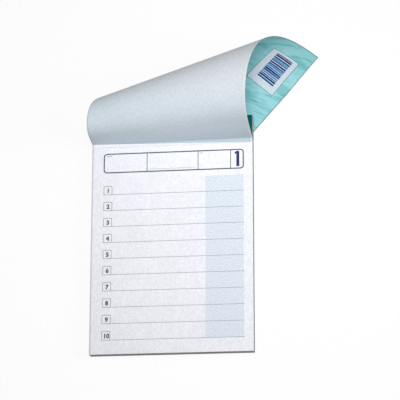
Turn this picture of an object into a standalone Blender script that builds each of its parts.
"""Triplicate order book: a head-bound pad of carbonless sets whose front cover is turned back.

The cover leaves its crease at the top of the page, rolls back over the head in a conical loop and
ends tucked under the pad. Left edge of the pad at x = 0, crease at y = 0, supporting surface at
z = 0; the whole book hangs on one empty that centres it over the origin.
"""
import math

import bmesh
import bpy
import numpy as np
from mathutils import Vector

MM = 0.001

# Pad outline
PAD_WIDTH = 102 * MM
PAGE_LENGTH = 135.2 * MM
STUB_LENGTH = 15.3 * MM

# Paper, card and tape
SET_COUNT = 35
LEAF_THICKNESS = 0.04 * MM
PLY_GAP = 0.01 * MM
BOARD_THICKNESS = 0.8 * MM
SHIELD_THICKNESS = 0.25 * MM
SHIELD_LENGTH = 131 * MM
COVER_THICKNESS = 0.25 * MM
TAPE_THICKNESS = 0.2 * MM
TAPE_RETURN = 14 * MM
TAPE_SETBACK = 0.8 * MM

# Perforation that parts the leaves of the first set from their stub
PERFORATION_INSET = 2.2 * MM
PERFORATION_GAP = 0.3 * MM

# Staples, driven through the stub from the front and clinched into the board
WIRE = 0.4 * MM
CROWN_LENGTH = 12 * MM
CLINCH_LENGTH = 4 * MM
STAPLE_INSET = 22 * MM
STAPLE_SETBACK = 8 * MM
WIRE_CLEARANCE = 0.12 * MM
GROOVE_CLEARANCE = 0.2 * MM
CLINCH_RECESS = 0.02 * MM

# Cover loop: rise at the crease, then bend lines that fan out from a point left of the pad
COVER_LENGTH = 142.7 * MM
COVER_RISE = math.radians(81.7)
BEND_COUNT = 48
BEND_START = 20.4 * MM
TAIL_CLEARANCE = 0.1 * MM
LANDING_MARGIN = 0.4 * MM
FAN_SHARE = 0.4342
FAN_REACH = 2658 * MM

# Bend per unit of the loop, in radians; the last three and the loop's finish are first guesses
BEND_STATIONS = (0.0, 0.12, 0.732, 0.775, 1.0)
BEND_AT_CREASE = -0.43
CROWN_BEND = 6.8
BACK_BEND = 3.2
LANDING_BEND = 4.9
BEND_FINISH = 170 * MM

# Newton steps that bring the tail of the loop flat under the pad
SOLVER_STEPS = 60
SOLVER_NUDGE = 1e-6
SOLVER_TOLERANCE = 1e-7 * MM
LARGEST_CHANGE = 0.15

# Edges turned by more than this stay crisp in shading
SHARP_ANGLE = math.radians(30)

# Derived levels, from the supporting surface up
LEAF_PITCH = LEAF_THICKNESS + PLY_GAP
SET_PITCH = 3 * LEAF_PITCH
SET_THICKNESS = SET_PITCH - PLY_GAP
TAPE_BOTTOM = COVER_THICKNESS + TAIL_CLEARANCE
BOARD_BOTTOM = TAPE_BOTTOM + TAPE_THICKNESS + PLY_GAP
BOARD_TOP = BOARD_BOTTOM + BOARD_THICKNESS
SHIELD_BOTTOM = BOARD_TOP + PLY_GAP + (SET_COUNT - 1) * SET_PITCH
FIRST_SET_BOTTOM = SHIELD_BOTTOM + SHIELD_THICKNESS + PLY_GAP
COVER_STUB_BOTTOM = FIRST_SET_BOTTOM + SET_PITCH
COVER_STUB_TOP = COVER_STUB_BOTTOM + COVER_THICKNESS
TAPE_TOP = COVER_STUB_TOP + PLY_GAP + TAPE_THICKNESS
CROWN_TOP = COVER_STUB_TOP + PLY_GAP + WIRE
CLINCH_BOTTOM = BOARD_BOTTOM + CLINCH_RECESS
CREASE_HEIGHT = (COVER_STUB_BOTTOM + COVER_STUB_TOP) / 2
STAPLE_CENTRES = (STAPLE_INSET, PAD_WIDTH - STAPLE_INSET)

# Looks: base colour, roughness, metallic
WHITE_PAPER = ((0.93, 0.94, 0.97), 0.75, 0.0)
YELLOW_PAPER = ((0.95, 0.87, 0.52), 0.75, 0.0)
PINK_PAPER = ((0.94, 0.68, 0.72), 0.75, 0.0)
PAD_PAPER = ((0.86, 0.84, 0.80), 0.8, 0.0)
GREY_BOARD = ((0.42, 0.40, 0.37), 0.85, 0.0)
BUFF_CARD = ((0.72, 0.62, 0.45), 0.8, 0.0)
COVER_CARD = ((0.33, 0.64, 0.63), 0.5, 0.0)
GREEN_TAPE = ((0.0, 0.11, 0.09), 0.6, 0.0)
STEEL = ((0.66, 0.67, 0.68), 0.3, 1.0)


def clear_scene():
    for thing in list(bpy.data.objects):
        bpy.data.objects.remove(thing, do_unlink=True)


def make_material(name, look):
    colour, roughness, metallic = look
    material = bpy.data.materials.new(name + "_material")
    material.use_nodes = True
    shader = material.node_tree.nodes["Principled BSDF"]
    shader.inputs["Base Color"].default_value = (*colour, 1.0)
    shader.inputs["Roughness"].default_value = roughness
    shader.inputs["Metallic"].default_value = metallic
    return material


def add_object(name, mesh, parent, look, location=(0.0, 0.0, 0.0)):
    thing = bpy.data.objects.new(name, mesh)
    bpy.context.scene.collection.objects.link(thing)
    thing.parent = parent
    thing.location = location
    if look is not None:
        if not mesh.materials:
            mesh.materials.append(None)
        thing.material_slots[0].link = "OBJECT"
        thing.material_slots[0].material = make_material(name, look)
    return thing


def mesh_from_bmesh(name, bm):
    bmesh.ops.recalc_face_normals(bm, faces=bm.faces)
    mesh = bpy.data.meshes.new(name)
    bm.to_mesh(mesh)
    bm.free()
    return mesh


def add_loop(bm, points):
    corners = [bm.verts.new(point) for point in points]
    return [bm.edges.new((corners[i - 1], corners[i])) for i in range(len(corners))]


def thicken(bm, offset):
    """Closes the flat faces in bm into a plate by extruding them along offset."""
    sheet = bmesh.ops.extrude_face_region(bm, geom=bm.faces[:], use_keep_orig=True)
    moved = [item for item in sheet["geom"] if isinstance(item, bmesh.types.BMVert)]
    bmesh.ops.translate(bm, verts=moved, vec=offset)


def plate_mesh(name, x_span, y_span, thickness, holes=()):
    """A flat plate from z = 0 up, with rectangular holes given as (x_span, y_span)."""
    bm = bmesh.new()
    edges = []
    for (x0, x1), (y0, y1) in [(x_span, y_span), *holes]:
        edges += add_loop(bm, [(x0, y0, 0), (x1, y0, 0), (x1, y1, 0), (x0, y1, 0)])
    bmesh.ops.triangle_fill(bm, edges=edges, use_beauty=True, use_dissolve=False)
    thicken(bm, Vector((0, 0, thickness)))
    return mesh_from_bmesh(name, bm)


def extruded_mesh(name, profile, offset):
    """A closed prism: the profile's points joined in order and extruded along offset."""
    bm = bmesh.new()
    bm.faces.new([bm.verts.new(point) for point in profile])
    thicken(bm, Vector(offset))
    return mesh_from_bmesh(name, bm)


def boxes_mesh(name, boxes):
    """Separate boxes in one mesh, each given as its lowest and highest corners."""
    bm = bmesh.new()
    for low, high in boxes:
        made = bmesh.ops.create_cube(bm, size=1.0)
        size = Vector(high) - Vector(low)
        middle = (Vector(high) + Vector(low)) / 2
        bmesh.ops.scale(bm, verts=made["verts"], vec=size)
        bmesh.ops.translate(bm, verts=made["verts"], vec=middle)
    return mesh_from_bmesh(name, bm)


def add_cutter(name, boxes, parent):
    cutter = add_object(name, boxes_mesh(name, boxes), parent, None)
    cutter.hide_render = True
    cutter.display_type = "WIRE"
    return cutter


def add_boolean(thing, cutter, operation):
    modifier = thing.modifiers.new(cutter.name, "BOOLEAN")
    modifier.operation = operation
    modifier.object = cutter


def leg_spans():
    """Spans in x of the four staple legs."""
    spans = []
    for centre in STAPLE_CENTRES:
        start = centre - CROWN_LENGTH / 2
        end = centre + CROWN_LENGTH / 2
        spans += [(start, start + WIRE), (end - WIRE, end)]
    return spans


def wire_span(extra):
    """Span in y of the staple wire, widened on both sides by extra."""
    return STAPLE_SETBACK - WIRE / 2 - extra, STAPLE_SETBACK + WIRE / 2 + extra


def leg_holes():
    y_span = wire_span(WIRE_CLEARANCE)
    return [((x0 - WIRE_CLEARANCE, x1 + WIRE_CLEARANCE), y_span) for x0, x1 in leg_spans()]


def add_sets(book):
    """Sets 2 to SET_COUNT, top to bottom: three leaves and their stubs as one plate each."""
    y_span = (-PAGE_LENGTH, STUB_LENGTH)
    mesh = plate_mesh("set_plate", (0, PAD_WIDTH), y_span, SET_THICKNESS, leg_holes())
    for number in range(2, SET_COUNT + 1):
        level = BOARD_TOP + PLY_GAP + (SET_COUNT - number) * SET_PITCH
        add_object(f"set_{number:02d}", mesh, book, PAD_PAPER, (0, 0, level))


def add_first_set(book):
    """The set in use: its stub, and three leaves that turn up one on another at the perforation."""
    stub_span = (-PERFORATION_INSET, STUB_LENGTH)
    stub = plate_mesh("set_01_stub", (0, PAD_WIDTH), stub_span, SET_THICKNESS, leg_holes())
    add_object("set_01_stub", stub, book, WHITE_PAPER, (0, 0, FIRST_SET_BOTTOM))
    hinge_y = -PERFORATION_INSET - PERFORATION_GAP
    leaf_span = (-PAGE_LENGTH - hinge_y, 0)
    carrier = book
    place = Vector((0, hinge_y, FIRST_SET_BOTTOM))
    for name, look in (("triplicate_leaf", PINK_PAPER), ("duplicate_leaf", YELLOW_PAPER),
                       ("original_leaf", WHITE_PAPER)):
        mesh = plate_mesh(name, (0, PAD_WIDTH), leaf_span, LEAF_THICKNESS)
        carrier = add_object(name, mesh, carrier, look, place)
        place = Vector((0, 0, LEAF_PITCH))


def add_shield(book):
    mesh = plate_mesh("writing_shield", (0, PAD_WIDTH), (0, SHIELD_LENGTH), SHIELD_THICKNESS)
    add_object("writing_shield", mesh, book, BUFF_CARD, (0, -PAGE_LENGTH, SHIELD_BOTTOM))


def add_back_board(book):
    y_span = (-PAGE_LENGTH, STUB_LENGTH)
    mesh = plate_mesh("back_board", (0, PAD_WIDTH), y_span, BOARD_THICKNESS, leg_holes())
    board = add_object("back_board", mesh, book, GREY_BOARD, (0, 0, BOARD_BOTTOM))
    y0, y1 = wire_span(GROOVE_CLEARANCE)
    groove_top = CLINCH_BOTTOM + WIRE + WIRE_CLEARANCE
    grooves = []
    for centre in STAPLE_CENTRES:
        reach = CROWN_LENGTH / 2 + GROOVE_CLEARANCE
        inner = CROWN_LENGTH / 2 - CLINCH_LENGTH - GROOVE_CLEARANCE
        for x0, x1 in ((centre - reach, centre - inner), (centre + inner, centre + reach)):
            grooves.append(((x0, y0, BOARD_BOTTOM - WIRE), (x1, y1, groove_top)))
    add_boolean(board, add_cutter("clinch_grooves", grooves, book), "DIFFERENCE")


def add_staples(book):
    """Flat-wire staples: crown on the cover's stub, legs through the pad, ends turned in."""
    y0, y1 = wire_span(0)
    for name, centre in zip(("staple_left", "staple_right"), STAPLE_CENTRES):
        half = []
        half.append((CROWN_LENGTH / 2, CROWN_TOP))
        half.append((CROWN_LENGTH / 2, CLINCH_BOTTOM))
        half.append((CROWN_LENGTH / 2 - CLINCH_LENGTH, CLINCH_BOTTOM))
        half.append((CROWN_LENGTH / 2 - CLINCH_LENGTH, CLINCH_BOTTOM + WIRE))
        half.append((CROWN_LENGTH / 2 - WIRE, CLINCH_BOTTOM + WIRE))
        half.append((CROWN_LENGTH / 2 - WIRE, CROWN_TOP - WIRE))
        outline = [(centre + x, z) for x, z in half]
        outline += [(centre - x, z) for x, z in reversed(half)]
        profile = [(x, y0, z) for x, z in outline]
        add_object(name, extruded_mesh(name, profile, (0, y1 - y0, 0)), book, STEEL)


def add_binding_tape(book):
    """Cloth tape round the head, raised over each staple crown."""
    back = STUB_LENGTH + PLY_GAP
    front = TAPE_SETBACK
    under = STUB_LENGTH - TAPE_RETURN
    outline = [(under, TAPE_BOTTOM), (back + TAPE_THICKNESS, TAPE_BOTTOM),
               (back + TAPE_THICKNESS, TAPE_TOP), (front, TAPE_TOP),
               (front, TAPE_TOP - TAPE_THICKNESS), (back, TAPE_TOP - TAPE_THICKNESS),
               (back, TAPE_BOTTOM + TAPE_THICKNESS), (under, TAPE_BOTTOM + TAPE_THICKNESS)]
    profile = [(0, y, z) for y, z in outline]
    mesh = extruded_mesh("binding_tape", profile, (PAD_WIDTH, 0, 0))
    tape = add_object("binding_tape", mesh, book, GREEN_TAPE)
    hollow_top = CROWN_TOP + WIRE_CLEARANCE
    bumps = []
    hollows = []
    for centre in STAPLE_CENTRES:
        reach = CROWN_LENGTH / 2 + WIRE_CLEARANCE
        y0, y1 = wire_span(WIRE_CLEARANCE)
        hollows.append(((centre - reach, y0, COVER_STUB_TOP), (centre + reach, y1, hollow_top)))
        reach += TAPE_THICKNESS
        y0, y1 = wire_span(WIRE_CLEARANCE + TAPE_THICKNESS)
        base = TAPE_TOP - TAPE_THICKNESS / 2
        bumps.append(((centre - reach, y0, base), (centre + reach, y1, hollow_top + TAPE_THICKNESS)))
    add_boolean(tape, add_cutter("tape_bumps", bumps, book), "UNION")
    add_boolean(tape, add_cutter("tape_hollows", hollows, book), "DIFFERENCE")


def turn_about(point, axis, angle):
    """A 4 x 4 turn by angle about the line through point along the unit vector axis."""
    x, y, z = axis
    cross = np.array([[0, -z, y], [z, 0, -x], [-y, x, 0]])
    turn = np.eye(3) + math.sin(angle) * cross + (1 - math.cos(angle)) * cross @ cross
    matrix = np.eye(4)
    matrix[:3, :3] = turn
    matrix[:3, 3] = point - turn @ point
    return matrix


def bend_lines(loop):
    """For each bend line: where it crosses the cover's left and right edges, and its angle."""
    crown, back, landing, finish = loop
    lines = []
    for index in range(BEND_COUNT):
        share = (index + 0.5) / BEND_COUNT
        right = BEND_START + (finish - BEND_START) * share
        left = right * (FAN_SHARE + right / FAN_REACH)
        bends = (BEND_AT_CREASE, crown, back, back, landing)
        angle = np.interp(share, BEND_STATIONS, bends) / BEND_COUNT
        lines.append((left, right, angle))
    return lines


def flat_to_loop(loop):
    """One matrix for each flat strip of the cover, from the crease to the tucked tail.

    Flat coordinates: x along the crease, y away from it, z = 0. Folding the flat sheet about its
    bend lines one after another keeps it a true developable surface.
    """
    rise = np.array([0, math.cos(COVER_RISE), math.sin(COVER_RISE)])
    matrix = np.eye(4)
    matrix[:3, 1] = rise
    matrix[:3, 2] = np.cross(matrix[:3, 0], rise)
    matrix[2, 3] = CREASE_HEIGHT
    strips = [matrix]
    for left, right, angle in bend_lines(loop):
        axis = np.array([PAD_WIDTH, right - left, 0])
        axis = axis / np.linalg.norm(axis)
        matrix = matrix @ turn_about(np.array([0, left, 0]), axis, -angle)
        strips.append(matrix)
    return strips


def landing_error(loop):
    """How far the tail is from lying level, at its height, and just behind the head."""
    tail = flat_to_loop(loop)[-1]
    left = bend_lines(loop)[-1][0]
    landing = tail @ np.array([0, left, 0, 1])
    height = COVER_THICKNESS / 2
    behind = STUB_LENGTH + TAPE_THICKNESS + LANDING_MARGIN
    return np.array([tail[0, 2] * PAD_WIDTH, tail[1, 2] * PAD_WIDTH,
                     landing[2] - height, landing[1] - behind])


def solve_loop():
    """Newton steps from the first guesses until the tail lies flat under the pad."""
    loop = np.array([CROWN_BEND, BACK_BEND, LANDING_BEND, BEND_FINISH])
    for _ in range(SOLVER_STEPS):
        error = landing_error(loop)
        if np.abs(error).max() < SOLVER_TOLERANCE:
            break
        slope = np.zeros((loop.size, loop.size))
        for index in range(loop.size):
            step = np.zeros(loop.size)
            step[index] = SOLVER_NUDGE * loop[index]
            slope[:, index] = (landing_error(loop + step) - error) / step[index]
        change = np.linalg.solve(slope, -error)
        largest = np.abs(change / loop).max()
        loop = loop + change * min(1.0, LARGEST_CHANGE / largest)
    return loop


def cover_sheet():
    """Mid-surface of the cover: points, the offset direction at each, and strips as point lists."""
    loop = solve_loop()
    lines = bend_lines(loop)
    strips = flat_to_loop(loop)
    normals = [np.array([0, 0, -1.0])] + [strip[:3, 2] for strip in strips]
    points = []
    offsets = []

    def add_point(place, before, after):
        bisector = before + after
        bisector = bisector / np.linalg.norm(bisector)
        points.append(place)
        offsets.append(bisector / np.dot(bisector, after))
        return len(points) - 1

    def on_strip(strip, across, along):
        return (strip @ np.array([across, along, 0, 1]))[:3]

    head = [add_point(np.array([x, STUB_LENGTH, CREASE_HEIGHT]), normals[0], normals[0])
            for x in (0, PAD_WIDTH)]
    ends = [add_point(np.array([x, 0, CREASE_HEIGHT]), normals[0], normals[1])
            for x in (0, PAD_WIDTH)]
    faces = [[head[0], head[1], ends[1], ends[0]]]
    corner_done = False
    for index, (left, right, _) in enumerate(lines):
        strip = strips[index]
        before, after = normals[index + 1], normals[index + 2]
        face = [ends[0], ends[1]]
        across, along = PAD_WIDTH, right
        if right > COVER_LENGTH:
            across = PAD_WIDTH * (COVER_LENGTH - left) / (right - left)
            along = COVER_LENGTH
            if not corner_done:
                corner = on_strip(strip, PAD_WIDTH, COVER_LENGTH)
                face.append(add_point(corner, before, before))
                corner_done = True
        ends = [add_point(on_strip(strip, 0, left), before, after),
                add_point(on_strip(strip, across, along), before, after)]
        faces.append(face + [ends[1], ends[0]])
    tail_end = on_strip(strips[-1], 0, COVER_LENGTH)
    faces.append([ends[0], ends[1], add_point(tail_end, normals[-1], normals[-1])])
    return points, offsets, faces


def add_front_cover(book):
    points, offsets, faces = cover_sheet()
    bm = bmesh.new()
    half = COVER_THICKNESS / 2
    inside = [bm.verts.new(Vector(p + half * n)) for p, n in zip(points, offsets)]
    outside = [bm.verts.new(Vector(p - half * n)) for p, n in zip(points, offsets)]
    for face in faces:
        bm.faces.new([inside[i] for i in face])
        bm.faces.new([outside[i] for i in reversed(face)])
    uses = {}
    for face in faces:
        for start, end in zip(face, face[1:] + face[:1]):
            uses.setdefault(frozenset((start, end)), []).append((start, end))
    for directions in uses.values():
        if len(directions) == 1:
            start, end = directions[0]
            bm.faces.new([inside[end], inside[start], outside[start], outside[end]])
    mesh = mesh_from_bmesh("front_cover", bm)
    mesh.shade_smooth()
    mesh.set_sharp_from_angle(angle=SHARP_ANGLE)
    cover = add_object("front_cover", mesh, book, COVER_CARD)
    holes = []
    for (x0, x1), (y0, y1) in leg_holes():
        low = (x0, y0, COVER_STUB_BOTTOM - COVER_THICKNESS)
        holes.append((low, (x1, y1, COVER_STUB_TOP + COVER_THICKNESS)))
    add_boolean(cover, add_cutter("cover_leg_holes", holes, book), "DIFFERENCE")


def centre_over_origin(book):
    """Moves the empty that carries the book so that its footprint is centred on the origin."""
    bpy.context.view_layer.update()
    corners = [thing.matrix_world @ vertex.co for thing in bpy.data.objects
               if thing.type == "MESH" and not thing.hide_render for vertex in thing.data.vertices]
    for axis in (0, 1):
        reach = [corner[axis] for corner in corners]
        book.location[axis] = -(min(reach) + max(reach)) / 2
    bpy.context.view_layer.update()


def main():
    clear_scene()
    book = bpy.data.objects.new("order_book", None)
    bpy.context.scene.collection.objects.link(book)
    add_back_board(book)
    add_sets(book)
    add_shield(book)
    add_first_set(book)
    add_staples(book)
    add_binding_tape(book)
    add_front_cover(book)
    centre_over_origin(book)


main()
